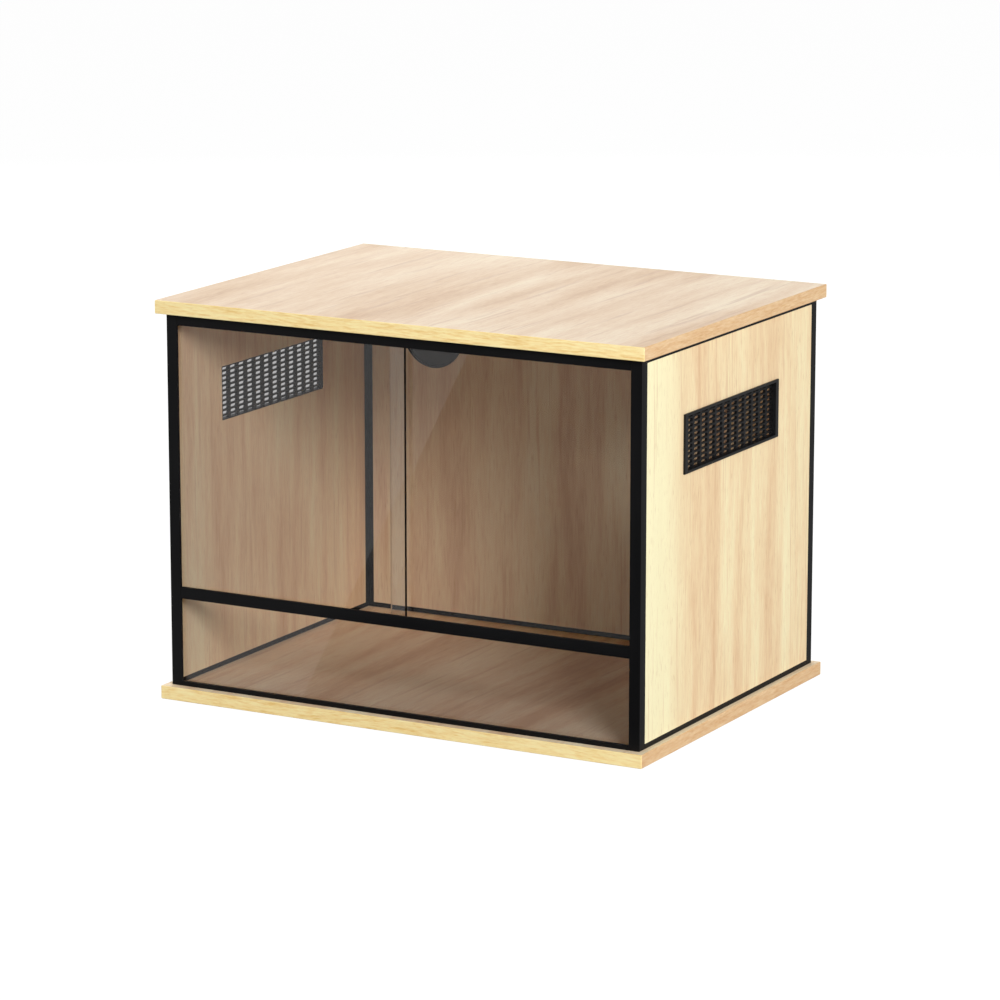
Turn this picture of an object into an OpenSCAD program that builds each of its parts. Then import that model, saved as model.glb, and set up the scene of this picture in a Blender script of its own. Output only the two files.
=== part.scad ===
// Terrarium cabinet: two oak-decor boards, slotted corner posts and rails that hold thin
// side and back panels, and a glazed front with a fixed pane below two sliding glass doors.
// Millimetres. X runs left to right, Y front to back and Z up. The origin is the middle of
// the underside of the base board.

/* [Boards] */
// Width of the base and top boards
board_w = 600; // [500:10:1200]
// Depth of the base and top boards
board_d = 450; // [400:10:700]
// Thickness of the base and top boards
board_t = 15; // [14:1:25]
// Thickness of the edge band round both boards
edge_band_t = 1; // [0.5:0.1:2]
// How far the boards stand out past the sides
side_overhang = 8; // [4:0.5:20]
// How far the boards stand out past the front
front_overhang = 11; // [4:0.5:20]
// How far the boards stand out past the back
rear_overhang = 9; // [4:0.5:20]

/* [Carcass] */
// Clear height between the two boards
carcass_h = 420; // [380:10:700]
// Thickness of the side and back panels and of the slotted frame
panel_t = 6; // [6:0.5:9]
// Thickness of the tongue round each panel
tongue_t = 2.8; // [2:0.1:3]
// How far each tongue stands out from its panel
tongue_l = 4; // [2:0.5:4.5]
// Clearance all round a tongue in its groove
tongue_gap = 0.1; // [0.05:0.05:0.3]
// Width of each leg of the corner posts
post_leg = 13; // [11:0.5:20]
// Height of the slotted rails above and below the panels
rail_h = 5.6; // [5.4:0.1:10]

/* [Front frame] */
// Height of the header rail's face
header_h = 12.9; // [11:0.1:20]
// Height of the mid rail's underside above the floor
mid_rail_height = 99.7; // [60:0.1:160]
// Height of the mid rail's face
mid_rail_h = 13.2; // [13:0.1:20]
// Height of the sill rail
sill_h = 5.1; // [4.5:0.1:10]
// Thickness of the front face of the header and mid rails
fascia_t = 2.4; // [2:0.1:4]
// Thickness of the rails' webs and rear walls
web_t = 2; // [1.8:0.1:3]
// Depth of the groove under the mid rail
pane_groove_d = 3; // [2:0.1:4]
// Thickness of the mid rail's web, between that groove and the track
mid_web_t = 2.5; // [1.5:0.1:3]
// Thickness of the soft channel round the fixed pane's edges
gasket_t = 0.9; // [0.5:0.1:1.5]
// How far the mid rail's tenons go into the posts
tenon_l = 1; // [0.5:0.1:1.2]

/* [Doors] */
// Thickness of the glass
glass_t = 4; // [3:0.5:5]
// Clearance on each face of a door in its track
glass_play = 0.5; // [0.3:0.1:1]
// Clearance between a door's edge and the post beside it
jamb_gap = 0.5; // [0.3:0.1:2]
// Clearance under a door
glide_gap = 0.2; // [0.1:0.1:0.5]
// How far a door's top edge sits in the upper track
top_hold = 3.2; // [2:0.1:5]
// Place of the front door's meeting edge, right of the middle
left_door_edge_x = 6; // [2:0.5:40]
// Place of the rear door's meeting edge, left of the middle
right_door_edge_x = 15; // [2:0.5:40]
// Thickness of the tracks' outer legs
track_leg_t = 1.2; // [0.8:0.1:2]
// Thickness of the tracks' floors
track_floor_t = 1; // [0.8:0.1:1.5]
// Thickness of the divider between the two doors
divider_t = 1.6; // [1.2:0.1:4]
// How far the lower track's divider stands below the mid rail's face
divider_drop = 2.9; // [1:0.1:4]
// How far the lower track's rear leg stands below the mid rail's face
rear_leg_drop = 3.9; // [2:0.1:5]

/* [Vents] */
// Length of the opening through a side panel
vent_hole_l = 219; // [120:1:260]
// Height of the opening through a side panel
vent_hole_h = 61.5; // [40:0.5:90]
// Clearance round the bezel's sleeve in the opening
vent_gap = 0.1; // [0.05:0.05:0.4]
// Wall of the bezel's sleeve
vent_wall = 1.2; // [1:0.1:2.5]
// How far the vent plate reaches into the sleeve's wall
plate_lap = 0.65; // [0.4:0.05:0.8]
// Clearance round the vent plate in its rebate
plate_gap = 0.05; // [0.02:0.01:0.1]
// Thickness of the vent plate
plate_t = 3.3; // [1.5:0.1:4]
// How far the bezel's face reaches past the opening's ends
bezel_lap_l = 6.2; // [3:0.1:10]
// How far the bezel's face reaches past the opening's top and bottom
bezel_lap_h = 1.7; // [1:0.1:6]
// Thickness of the bezel's face
bezel_t = 2.3; // [1.5:0.1:4]
// Distance of the vents' middle in front of the side panels' middle
vent_forward = 1.6; // [0:0.1:10]
// Distance of the vents' middle below the ceiling
vent_drop = 107.2; // [60:0.1:180]
// Length of one slot
slot_l = 13.8; // [8:0.1:16]
// Height of one slot
slot_h = 3.7; // [2:0.1:4.5]
// Spacing of the slots along the vent
slot_pitch_l = 18; // [15:0.5:30]
// Spacing of the slots up the vent
slot_pitch_h = 5.6; // [4.5:0.05:9]
// How far the slots stand off the plate's middle, forward on the right-hand vent
slot_forward = 5.1; // [0:0.1:8]

/* [Cable port] */
// Diameter of the sleeve through the back panel
port_d = 80; // [60:1:90]
// Distance of the port's middle from the cabinet's left side
port_side = 96; // [70:1:300]
// Distance of the port's middle below the ceiling
port_drop = 82.5; // [60:0.5:180]
// Wall of the sleeve
port_wall = 2.4; // [1.5:0.1:4]
// Width of the flange past the sleeve
port_flange = 5; // [4:0.5:10]
// Thickness of the flange
port_flange_t = 2.4; // [2:0.1:3]
// Thickness of the cap's floor and rim
cap_t = 1.2; // [1:0.1:1.6]
// Distance of the cap's floor behind the back panel's inner face
cap_recess = 3; // [1:0.1:4]
// Clearance between the cap and the sleeve
cap_gap = 0.3; // [0.2:0.05:0.5]
// Width of the notch for cables
notch_w = 18; // [10:1:30]
// Depth of the notch for cables
notch_d = 16; // [12:1:26]
// Width of the grip bar across the cap
grip_w = 6; // [3:0.5:10]

/* [Fasteners] */
// Diameter of the post screws' shanks and of the top pins
post_screw_d = 3.4; // [2.5:0.1:3.6]
// Length of the post screws in the posts
post_screw_hold = 25; // [15:1:40]
// Diameter of the post screws' heads
post_screw_head_d = 7.5; // [6:0.5:9]
// Height of the post screws' heads
post_screw_head_t = 3; // [2:0.5:4]
// How far the post screws' heads sit above the underside
post_screw_sink = 0.5; // [0.2:0.1:1.5]
// How deep each top pin sits in its post and in the top board
pin_hold = 10; // [6:1:12]
// Diameter of the rail screws' shanks
rail_screw_d = 2.8; // [2:0.1:3.2]
// Diameter of the rail screws' thin heads
rail_screw_head_d = 5; // [4:0.1:5.4]
// Thickness of the rail screws' heads
rail_screw_head_t = 1.2; // [0.8:0.1:1.3]
// How deep the rail screws go into the boards
rail_screw_hold = 11; // [6:1:12]
// Distance of the end rail screws from the posts
rail_screw_inset = 80; // [40:5:150]
// Clearance round a screw or pin
screw_gap = 0.05; // [0.02:0.01:0.1]
// Clearance round a screw's head
head_gap = 0.2; // [0.1:0.05:0.4]
// Clearance past the tip of a screw or pin
tip_gap = 0.5; // [0.2:0.1:1]

/* [Hidden] */
$fn = 64;
eps = 0.01;

// Outer faces of the carcass, and the floor and ceiling between the boards
side_x = board_w / 2 - side_overhang;
front_y = -board_d / 2 + front_overhang;
back_y = board_d / 2 - rear_overhang;
floor_z = board_t;
ceiling_z = floor_z + carcass_h;

// Inner faces
inner_x = side_x - panel_t;
post_x = side_x - post_leg;
post_front_y = front_y + post_leg;
post_back_y = back_y - post_leg;

// Grooves for the tongues
groove_t = tongue_t + 2 * tongue_gap;
groove_d = tongue_l + tip_gap;

// Depths behind the front face, front to back
lip_t = fascia_t + track_leg_t;
slot_t = glass_t + 2 * glass_play;
front_slot_y = lip_t;
divider_y = front_slot_y + slot_t;
rear_slot_y = divider_y + divider_t;
rear_leg_y = rear_slot_y + slot_t;
rear_wall_y = rear_leg_y + track_leg_t;
rail_d = rear_wall_y + web_t;

// Fixed pane, in soft channels between the sill and the mid rail
pane_groove_t = glass_t + 2 * gasket_t;
sill_d = lip_t + pane_groove_t + web_t;
mid_z = floor_z + mid_rail_height;
mid_web_top = pane_groove_d + mid_web_t;
pane_low_z = floor_z + web_t + gasket_t;
pane_high_z = mid_z + pane_groove_d - gasket_t;

// The mid rail's tenons, between the front leg and the tongue groove
mortise_w = post_leg - groove_d - lip_t - 2 * tip_gap;

// Doors
track_low_z = mid_z + mid_web_top + track_floor_t;
door_low_z = track_low_z + glide_gap;
door_high_z = ceiling_z - header_h + top_hold;
door_h = door_high_z - door_low_z;
left_door_w = inner_x - jamb_gap + left_door_edge_x;
right_door_w = inner_x - jamb_gap + right_door_edge_x;

// Vents
vent_y = (front_y + back_y) / 2 - vent_forward;
vent_z = ceiling_z - vent_drop;
sleeve_l = vent_hole_l - 2 * vent_gap;
sleeve_h = vent_hole_h - 2 * vent_gap;
grille_l = sleeve_l - 2 * vent_wall;
grille_h = sleeve_h - 2 * vent_wall;
slot_reach = ceil((grille_l + slot_l) / 2 / slot_pitch_l);
slot_rows = floor((grille_h - slot_h / 2) / slot_pitch_h) + 1;

// Cable port
port_x = -side_x + port_side;
port_z = ceiling_z - port_drop;
port_r = port_d / 2;
bore_r = port_r - port_wall;
cap_r = bore_r - cap_gap;
panel_inner_y = back_y - panel_t;
rim_y = back_y + port_flange_t - cap_t;
rim_r = port_r + port_flange / 2;
cap_floor_y = panel_inner_y + cap_recess;

// Fasteners
port_inset = panel_t / 2;
post_ports = [
    [-side_x + port_inset, front_y + port_inset],
    [side_x - port_inset, front_y + port_inset],
    [-side_x + port_inset, back_y - port_inset],
    [side_x - port_inset, back_y - port_inset],
];
post_pilot_d = post_screw_d + 2 * screw_gap;
post_counterbore_d = post_screw_head_d + 2 * head_gap;
post_seat_z = post_screw_sink + post_screw_head_t;
rail_pilot_d = rail_screw_d + 2 * screw_gap;
rail_counterbore_d = rail_screw_head_d + 2 * head_gap;
rail_screw_x = [-1, 0, 1] * (inner_x - rail_screw_inset);
header_screw_y = front_y + divider_y + divider_t / 2;
sill_screw_y = front_y + lip_t + pane_groove_t / 2;

oak = "burlywood";
oak_band = "navajowhite";
black = "#1a1a1c";
soft_black = "#262628";
dark_grey = "#37373a";
clear_glass = [0.75, 0.82, 0.8, 0.35];
steel = "silver";

// A box between two corners.
module block(low, high) {
    translate(low)
        cube(high - low);
}

// A profile drawn in depth and height, run left to right over the given length.
module along_x(length) {
    rotate([90, 0, 90])
        linear_extrude(height = length, center = true)
            children();
}

// A bar of a profile between two corners given in depth and height.
module bar(low, high) {
    translate(low)
        square(high - low);
}

// The same piece on the left of the cabinet.
module on_left() {
    mirror([1, 0, 0])
        children();
}

// Copies of a fastener at every given place, at one height.
module at_places(places, z) {
    for (place = places)
        translate([place[0], place[1], z])
            children();
}

// ---- Boards ----

// The chipboard core of a board, inside its edge bands.
module board_core(low_z) {
    block(
        [-board_w / 2 + edge_band_t, -board_d / 2 + edge_band_t, low_z],
        [board_w / 2 - edge_band_t, board_d / 2 - edge_band_t, low_z + board_t]
    );
}

// The front edge band covers the ends of the side bands.
module front_band(low_z) {
    block(
        [-board_w / 2, -board_d / 2, low_z],
        [board_w / 2, -board_d / 2 + edge_band_t, low_z + board_t]
    );
}

module right_band(low_z) {
    block(
        [board_w / 2 - edge_band_t, -board_d / 2 + edge_band_t, low_z],
        [board_w / 2, board_d / 2 - edge_band_t, low_z + board_t]
    );
}

module base_board() {
    color(oak)
        difference() {
            board_core(0);
            at_places(post_ports, -eps)
                cylinder(d = post_pilot_d, h = board_t + 2 * eps);
            at_places(post_ports, -eps)
                cylinder(d = post_counterbore_d, h = post_seat_z + eps);
            at_places([for (x = rail_screw_x) [x, sill_screw_y]], floor_z - rail_screw_hold)
                cylinder(d = rail_pilot_d, h = rail_screw_hold + eps);
        }
}

module top_board() {
    color(oak)
        difference() {
            board_core(ceiling_z);
            at_places(post_ports, ceiling_z - eps)
                cylinder(d = post_pilot_d, h = pin_hold + eps);
            at_places([for (x = rail_screw_x) [x, header_screw_y]], ceiling_z - eps)
                cylinder(d = rail_pilot_d, h = rail_screw_hold + eps);
        }
}

module base_front_edge_band() {
    color(oak_band)
        front_band(0);
}

module base_rear_edge_band() {
    color(oak_band)
        mirror([0, 1, 0])
            front_band(0);
}

module base_right_edge_band() {
    color(oak_band)
        right_band(0);
}

module base_left_edge_band() {
    color(oak_band)
        on_left()
            right_band(0);
}

module top_front_edge_band() {
    color(oak_band)
        front_band(ceiling_z);
}

module top_rear_edge_band() {
    color(oak_band)
        mirror([0, 1, 0])
            front_band(ceiling_z);
}

module top_right_edge_band() {
    color(oak_band)
        right_band(ceiling_z);
}

module top_left_edge_band() {
    color(oak_band)
        on_left()
            right_band(ceiling_z);
}

// ---- Corner posts ----

// Ports for the screw from below and the pin from above, in every post.
module post_port_holes() {
    at_places(post_ports, floor_z - eps)
        cylinder(d = post_pilot_d, h = post_screw_hold + eps);
    at_places(post_ports, ceiling_z - pin_hold)
        cylinder(d = post_pilot_d, h = pin_hold + eps);
}

// The right-hand front post: a thin leg that frames the doors and a slotted side leg.
module right_front_post() {
    difference() {
        union() {
            block([post_x, front_y, floor_z], [side_x, front_y + lip_t, ceiling_z]);
            block([inner_x, front_y, floor_z], [side_x, post_front_y, ceiling_z]);
        }
        block(
            [side_x - (panel_t + groove_t) / 2, post_front_y - groove_d, floor_z - eps],
            [side_x - (panel_t - groove_t) / 2, post_front_y + eps, ceiling_z + eps]
        );
        post_port_holes();
        mid_rail_mortise();
    }
}

// The pocket in the side leg that takes the mid rail's tenon.
module mid_rail_mortise() {
    block(
        [inner_x - eps, front_y + lip_t, mid_z + pane_groove_d],
        [inner_x + tenon_l + tongue_gap, front_y + lip_t + mortise_w, mid_z + mid_web_top]
    );
}

// The right-hand rear post: two slotted legs of the panels' thickness.
module right_rear_post() {
    difference() {
        union() {
            block([inner_x, post_back_y, floor_z], [side_x, back_y, ceiling_z]);
            block([post_x, back_y - panel_t, floor_z], [side_x, back_y, ceiling_z]);
        }
        block(
            [side_x - (panel_t + groove_t) / 2, post_back_y - eps, floor_z - eps],
            [side_x - (panel_t - groove_t) / 2, post_back_y + groove_d, ceiling_z + eps]
        );
        block(
            [post_x - eps, back_y - (panel_t + groove_t) / 2, floor_z - eps],
            [post_x + groove_d, back_y - (panel_t - groove_t) / 2, ceiling_z + eps]
        );
        post_port_holes();
    }
}

module front_right_post() {
    color(black)
        right_front_post();
}

module front_left_post() {
    color(black)
        on_left()
            right_front_post();
}

module rear_right_post() {
    color(black)
        right_rear_post();
}

module rear_left_post() {
    color(black)
        on_left()
            right_rear_post();
}

// ---- Slotted rails and panels ----

// Section of the rail under a panel, its groove open upwards.
module slotted_section() {
    difference() {
        square([panel_t, rail_h]);
        translate([(panel_t - groove_t) / 2, rail_h - groove_d])
            square([groove_t, groove_d + eps]);
    }
}

module right_low_rail() {
    translate([inner_x, post_back_y, floor_z])
        rotate([90, 0, 0])
            linear_extrude(height = post_back_y - post_front_y)
                slotted_section();
}

module rear_low_rail() {
    translate([0, back_y - panel_t, floor_z])
        along_x(2 * post_x)
            slotted_section();
}

// The same rail against the other board.
module on_ceiling() {
    translate([0, 0, floor_z + ceiling_z])
        mirror([0, 0, 1])
            children();
}

module right_bottom_rail() {
    color(black)
        right_low_rail();
}

module left_bottom_rail() {
    color(black)
        on_left()
            right_low_rail();
}

module rear_bottom_rail() {
    color(black)
        rear_low_rail();
}

module right_top_rail() {
    color(black)
        on_ceiling()
            right_low_rail();
}

module left_top_rail() {
    color(black)
        on_ceiling()
            on_left()
                right_low_rail();
}

module rear_top_rail() {
    color(black)
        on_ceiling()
            rear_low_rail();
}

// A side panel with its tongue and the opening for the vent.
module right_panel() {
    tongue_x = side_x - (panel_t + tongue_t) / 2;
    difference() {
        union() {
            block(
                [inner_x, post_front_y, floor_z + rail_h],
                [side_x, post_back_y, ceiling_z - rail_h]
            );
            block(
                [tongue_x, post_front_y - tongue_l, floor_z + rail_h - tongue_l],
                [tongue_x + tongue_t, post_back_y + tongue_l, ceiling_z - rail_h + tongue_l]
            );
        }
        vent_block(inner_x - eps, side_x + eps, vent_hole_l, vent_hole_h);
    }
}

module right_side_panel() {
    color(oak)
        right_panel();
}

module left_side_panel() {
    color(oak)
        on_left()
            right_panel();
}

module back_panel() {
    tongue_y = back_y - (panel_t + tongue_t) / 2;
    color(oak)
        difference() {
            union() {
                block(
                    [-post_x, back_y - panel_t, floor_z + rail_h],
                    [post_x, back_y, ceiling_z - rail_h]
                );
                block(
                    [-post_x - tongue_l, tongue_y, floor_z + rail_h - tongue_l],
                    [post_x + tongue_l, tongue_y + tongue_t, ceiling_z - rail_h + tongue_l]
                );
            }
            port_cylinder(port_r + screw_gap, panel_inner_y - eps, back_y + eps);
        }
}

// ---- Front rails, tracks and fixed pane ----

// Cuts a front rail back where the posts' front legs stand before it.
module behind_front_legs() {
    difference() {
        children();
        for (side = [0, 1])
            mirror([side, 0, 0])
                block([post_x, front_y - eps, 0], [side_x, front_y + lip_t, 2 * ceiling_z]);
    }
}

// The header rail: face, web against the top board and rear wall.
module header_rail() {
    color(black)
        difference() {
            behind_front_legs()
                translate([0, front_y, ceiling_z - header_h])
                    along_x(2 * inner_x) {
                        bar([0, 0], [fascia_t, header_h]);
                        bar([0, header_h - web_t], [rail_d, header_h]);
                        bar([rear_wall_y, 0], [rail_d, header_h]);
                    }
            at_places([for (x = rail_screw_x) [x, header_screw_y]], ceiling_z - web_t - eps) {
                cylinder(d = rail_counterbore_d, h = rail_screw_head_t + eps);
                cylinder(d = rail_pilot_d, h = web_t + 2 * eps);
            }
        }
}

// The upper track: floor under the header's web, two outer legs and the divider.
module upper_door_track() {
    track_top = header_h - web_t;
    color(soft_black)
        behind_front_legs()
            translate([0, front_y, ceiling_z - header_h])
                along_x(2 * inner_x) {
                    bar([fascia_t, track_top - track_floor_t], [rear_wall_y, track_top]);
                    bar([fascia_t, 0], [lip_t, track_top]);
                    bar([divider_y, 0], [rear_slot_y, track_top]);
                    bar([rear_leg_y, 0], [rear_wall_y, track_top]);
                }
}

// The mid rail: a face, a groove below for the fixed pane, and a tray above for the track.
module mid_rail() {
    color(black)
        union() {
            behind_front_legs()
                translate([0, front_y, mid_z])
                    along_x(2 * inner_x) {
                        bar([0, 0], [fascia_t, mid_rail_h]);
                        bar([0, 0], [lip_t, mid_web_top]);
                        bar([0, pane_groove_d], [rail_d, mid_web_top]);
                        bar([lip_t + pane_groove_t, 0], [lip_t + pane_groove_t + web_t, mid_web_top]);
                        bar([rear_wall_y, pane_groove_d], [rail_d, mid_rail_h - rear_leg_drop]);
                    }
            for (side = [0, 1])
                mirror([side, 0, 0])
                    block(
                        [inner_x - tenon_l, front_y + lip_t + tongue_gap, mid_z + pane_groove_d],
                        [
                            inner_x + tenon_l,
                            front_y + lip_t + mortise_w - tongue_gap,
                            mid_z + mid_web_top,
                        ]
                    );
        }
}

// The lower track, stepped down to the rear so that the glass can be lifted out.
module lower_door_track() {
    color(soft_black)
        behind_front_legs()
            translate([0, front_y, mid_z])
                along_x(2 * inner_x) {
                    bar([fascia_t, mid_web_top], [rear_wall_y, mid_web_top + track_floor_t]);
                    bar([fascia_t, mid_web_top], [lip_t, mid_rail_h]);
                    bar([divider_y, mid_web_top], [rear_slot_y, mid_rail_h - divider_drop]);
                    bar([rear_leg_y, mid_web_top], [rear_wall_y, mid_rail_h - rear_leg_drop]);
                }
}

// The sill rail: a face and a low kerb on a web that is screwed to the base board.
module sill_rail() {
    color(black)
        difference() {
            behind_front_legs()
                translate([0, front_y, floor_z])
                    along_x(2 * inner_x) {
                        bar([0, 0], [lip_t, sill_h]);
                        bar([0, 0], [sill_d, web_t]);
                        bar([sill_d - web_t, 0], [sill_d, web_t + gasket_t]);
                    }
            at_places([for (x = rail_screw_x) [x, sill_screw_y]], floor_z) {
                translate([0, 0, web_t - rail_screw_head_t])
                    cylinder(d = rail_counterbore_d, h = rail_screw_head_t + eps);
                translate([0, 0, -eps])
                    cylinder(d = rail_pilot_d, h = web_t + 2 * eps);
            }
        }
}

module front_pane() {
    color(clear_glass)
        block(
            [-inner_x + jamb_gap, front_y + lip_t + gasket_t, pane_low_z],
            [inner_x - jamb_gap, front_y + lip_t + gasket_t + glass_t, pane_high_z]
        );
}

// Soft seat under the pane's lower edge, with a leg up the sill's face for the bonding.
module front_pane_bottom_gasket() {
    color(soft_black)
        translate([0, front_y + lip_t, floor_z + web_t])
            along_x(2 * inner_x) {
                bar([0, 0], [pane_groove_t, gasket_t]);
                bar([0, 0], [gasket_t, sill_h - web_t]);
            }
}

// Soft channel along the pane's upper edge, its mouth downwards.
module front_pane_top_gasket() {
    color(soft_black)
        translate([0, front_y + lip_t, mid_z])
            along_x(2 * inner_x)
                difference() {
                    bar([0, 0], [pane_groove_t, pane_groove_d]);
                    bar([gasket_t, -eps], [gasket_t + glass_t, pane_groove_d - gasket_t]);
                }
}

// ---- Sliding doors ----

module left_sliding_door() {
    color(clear_glass)
        translate([left_door_edge_x - left_door_w, front_y + front_slot_y + glass_play, door_low_z])
            cube([left_door_w, glass_t, door_h]);
}

module right_sliding_door() {
    color(clear_glass)
        translate([-right_door_edge_x, front_y + rear_slot_y + glass_play, door_low_z])
            cube([right_door_w, glass_t, door_h]);
}

// ---- Vents ----

// A box centred on the right-hand vent, between two depths.
module vent_block(low_x, high_x, length, height) {
    block(
        [low_x, vent_y - length / 2, vent_z - height / 2],
        [high_x, vent_y + length / 2, vent_z + height / 2]
    );
}

// One slot with round ends.
module slot() {
    square([slot_l - slot_h, slot_h], center = true);
    for (side = [-1, 1])
        translate([side * (slot_l - slot_h) / 2, 0])
            circle(d = slot_h, $fn = 24);
}

// The rows of slots, cut off square where they pass the edges of the grille.
module slot_pattern() {
    intersection() {
        square([grille_l, grille_h], center = true);
        for (col = [-slot_reach : slot_reach])
            for (row = [0 : slot_rows - 1])
                translate([
                    col * slot_pitch_l - slot_forward,
                    (row - (slot_rows - 1) / 2) * slot_pitch_h,
                ])
                    slot();
    }
}

// The plate, flush with the inner face of the panel.
module right_plate() {
    lap = plate_lap - plate_gap;
    translate([inner_x, vent_y, vent_z])
        rotate([90, 0, 90])
            linear_extrude(height = plate_t)
                difference() {
                    square([grille_l + 2 * lap, grille_h + 2 * lap], center = true);
                    slot_pattern();
                }
}

// The bezel: a face that laps the panel, and a sleeve with a rebate that holds the plate.
module right_bezel() {
    difference() {
        union() {
            vent_block(
                side_x, side_x + bezel_t,
                vent_hole_l + 2 * bezel_lap_l, vent_hole_h + 2 * bezel_lap_h
            );
            vent_block(inner_x, side_x + eps, sleeve_l, sleeve_h);
        }
        vent_block(inner_x - eps, side_x + bezel_t + eps, grille_l, grille_h);
        vent_block(
            inner_x - eps, inner_x + plate_t,
            grille_l + 2 * plate_lap, grille_h + 2 * plate_lap
        );
    }
}

// The left-hand vent is the same part, turned round rather than mirrored.
module turned_to_left() {
    translate([0, vent_y, 0])
        rotate([0, 0, 180])
            translate([0, -vent_y, 0])
                children();
}

module right_vent_plate() {
    color(dark_grey)
        right_plate();
}

module left_vent_plate() {
    color(dark_grey)
        turned_to_left()
            right_plate();
}

module right_vent_bezel() {
    color(black)
        right_bezel();
}

module left_vent_bezel() {
    color(black)
        turned_to_left()
            right_bezel();
}

// ---- Cable port ----

// A cylinder on the port's axis, between two depths.
module port_cylinder(radius, low_y, high_y) {
    translate([port_x, high_y, port_z])
        rotate([90, 0, 0])
            cylinder(r = radius, h = high_y - low_y);
}

module cable_port_sleeve() {
    color(black)
        difference() {
            union() {
                port_cylinder(port_r, panel_inner_y, back_y + eps);
                port_cylinder(port_r + port_flange, back_y, back_y + port_flange_t);
            }
            port_cylinder(bore_r, panel_inner_y - eps, back_y + port_flange_t + eps);
            port_cylinder(rim_r + cap_gap, rim_y, back_y + port_flange_t + eps);
        }
}

// The cap: a dish that turns in the sleeve, with a grip bar and a notch for cables.
module cable_port_cap() {
    cap_y = rim_y + cap_t;
    dish_r = cap_r - port_wall;
    color(dark_grey)
        difference() {
            union() {
                difference() {
                    union() {
                        port_cylinder(cap_r, cap_floor_y, cap_y);
                        port_cylinder(rim_r, rim_y, cap_y);
                    }
                    port_cylinder(dish_r, cap_floor_y + cap_t, cap_y + eps);
                }
                block(
                    [port_x - dish_r - eps, cap_floor_y, port_z - grip_w / 2],
                    [port_x + dish_r + eps, cap_y, port_z + grip_w / 2]
                );
            }
            block(
                [port_x - notch_w / 2, cap_floor_y - eps, port_z + cap_r - notch_d + notch_w / 2],
                [port_x + notch_w / 2, cap_y + eps, port_z + rim_r + eps]
            );
            translate([0, 0, cap_r - notch_d + notch_w / 2])
                port_cylinder(notch_w / 2, cap_floor_y - eps, cap_y + eps);
        }
}

// ---- Fasteners ----

// Screws up through the base board into the posts' ports.
module post_screws() {
    color(steel)
        at_places(post_ports, post_screw_sink) {
            cylinder(d = post_screw_head_d, h = post_screw_head_t);
            cylinder(d = post_screw_d, h = floor_z + post_screw_hold - tip_gap - post_screw_sink);
        }
}

// Pins that stand in the posts' upper ports and locate the top board.
module top_locating_pins() {
    color(steel)
        at_places(post_ports, ceiling_z - pin_hold)
            cylinder(d = post_screw_d, h = 2 * pin_hold - tip_gap);
}

// Thin-headed screws that hold the header to the top board.
module header_screws() {
    seat_z = ceiling_z - web_t + rail_screw_head_t;
    color(steel)
        at_places([for (x = rail_screw_x) [x, header_screw_y]], seat_z) {
            translate([0, 0, -rail_screw_head_t])
                cylinder(d = rail_screw_head_d, h = rail_screw_head_t);
            cylinder(d = rail_screw_d, h = web_t - rail_screw_head_t + rail_screw_hold - tip_gap);
        }
}

// Thin-headed screws that hold the sill to the base board.
module sill_screws() {
    seat_z = floor_z + web_t - rail_screw_head_t;
    tip_z = floor_z - rail_screw_hold + tip_gap;
    color(steel)
        at_places([for (x = rail_screw_x) [x, sill_screw_y]], tip_z) {
            cylinder(d = rail_screw_d, h = seat_z - tip_z + eps);
            translate([0, 0, seat_z - tip_z])
                cylinder(d = rail_screw_head_d, h = rail_screw_head_t);
        }
}

base_board();
base_front_edge_band();
base_rear_edge_band();
base_left_edge_band();
base_right_edge_band();
top_board();
top_front_edge_band();
top_rear_edge_band();
top_left_edge_band();
top_right_edge_band();
front_left_post();
front_right_post();
rear_left_post();
rear_right_post();
left_bottom_rail();
right_bottom_rail();
rear_bottom_rail();
left_top_rail();
right_top_rail();
rear_top_rail();
left_side_panel();
right_side_panel();
back_panel();
header_rail();
mid_rail();
sill_rail();
upper_door_track();
lower_door_track();
front_pane();
front_pane_top_gasket();
front_pane_bottom_gasket();
left_sliding_door();
right_sliding_door();
left_vent_bezel();
right_vent_bezel();
left_vent_plate();
right_vent_plate();
cable_port_sleeve();
cable_port_cap();
post_screws();
top_locating_pins();
header_screws();
sill_screws();
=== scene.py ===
"""Looks of the terrarium cabinet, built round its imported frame.

Metres throughout, in the frame's own axes: X to the right, Y to the back, Z up, with the
origin in the middle of the underside of the base board. Sizes in millimetres say so.
"""

import logging
import math
from dataclasses import dataclass, field
from enum import Enum
from typing import Any

import bmesh
import bpy
from mathutils import Euler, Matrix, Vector

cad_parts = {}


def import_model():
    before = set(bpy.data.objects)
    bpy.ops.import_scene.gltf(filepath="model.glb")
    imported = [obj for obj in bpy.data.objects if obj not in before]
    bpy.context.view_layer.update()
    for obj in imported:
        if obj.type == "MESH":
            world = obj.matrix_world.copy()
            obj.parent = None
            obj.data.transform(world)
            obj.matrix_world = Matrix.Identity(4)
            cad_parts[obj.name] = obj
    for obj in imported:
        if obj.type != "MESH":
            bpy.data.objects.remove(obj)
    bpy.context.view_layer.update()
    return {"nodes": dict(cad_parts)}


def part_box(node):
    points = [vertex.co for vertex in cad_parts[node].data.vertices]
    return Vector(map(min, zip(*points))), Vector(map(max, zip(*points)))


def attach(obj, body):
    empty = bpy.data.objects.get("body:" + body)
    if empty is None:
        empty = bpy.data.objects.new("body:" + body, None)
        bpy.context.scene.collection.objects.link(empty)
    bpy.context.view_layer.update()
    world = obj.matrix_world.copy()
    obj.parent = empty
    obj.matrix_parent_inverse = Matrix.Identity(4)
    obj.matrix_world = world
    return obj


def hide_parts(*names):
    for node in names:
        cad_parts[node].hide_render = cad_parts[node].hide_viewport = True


MM = 0.001
LOG = logging.getLogger("cabinet")

Colour = tuple[float, float, float, float]
Point = tuple[float, float, float]


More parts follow.
